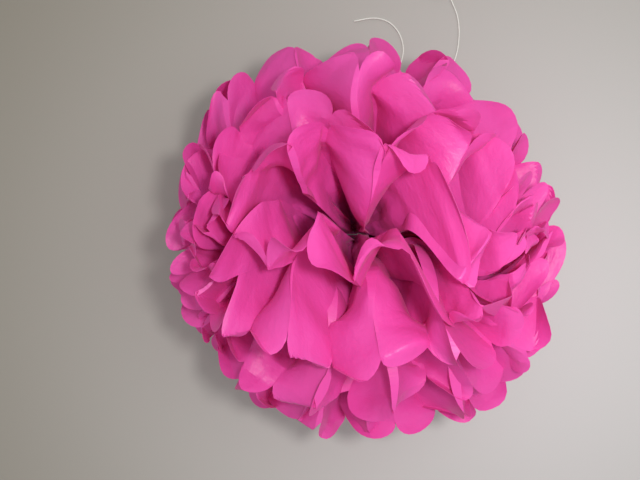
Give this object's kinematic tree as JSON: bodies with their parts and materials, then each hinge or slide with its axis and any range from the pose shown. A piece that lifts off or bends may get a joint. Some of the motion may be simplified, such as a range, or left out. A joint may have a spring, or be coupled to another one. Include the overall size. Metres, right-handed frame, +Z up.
{
  "type": "tissue paper pom pom",
  "caption": "Pink tissue paper pom pom: pleated sheets with round lobes, tied round the middle and opened into a ball, with a string to hang it by.",
  "frame": {"origin": "on the surface the ball rests on, under the middle of the ball", "axes": "+Z up; the pleats are stacked along X, so the cleft runs along X and the two fans of every sheet face +Y and -Y"},
  "size_m": [0.3116, 0.3905, 0.2497],
  "materials": {
    "tissue": "thin hot-pink tissue with a slight glaze and fine crumples",
    "wire": "bright drawn wire",
    "string": "smooth white twine"
  },
  "bodies": {
    "root": {"tissue_sheet_01_front": "tissue", "tissue_sheet_01_back": "tissue", "tissue_sheet_02": "tissue", "tissue_sheet_03": "tissue", "tissue_sheet_04": "tissue", "tissue_sheet_05": "tissue", "tissue_sheet_06": "tissue", "tissue_sheet_07": "tissue", "tissue_sheet_08": "tissue", "tissue_sheet_09": "tissue", "tissue_sheet_10": "tissue", "wire_tie": "wire", "string_knot": "string", "string_short_tail": "string", "string_long_tail": "string", "string_coil": "string"}
  },
  "joints": []
}
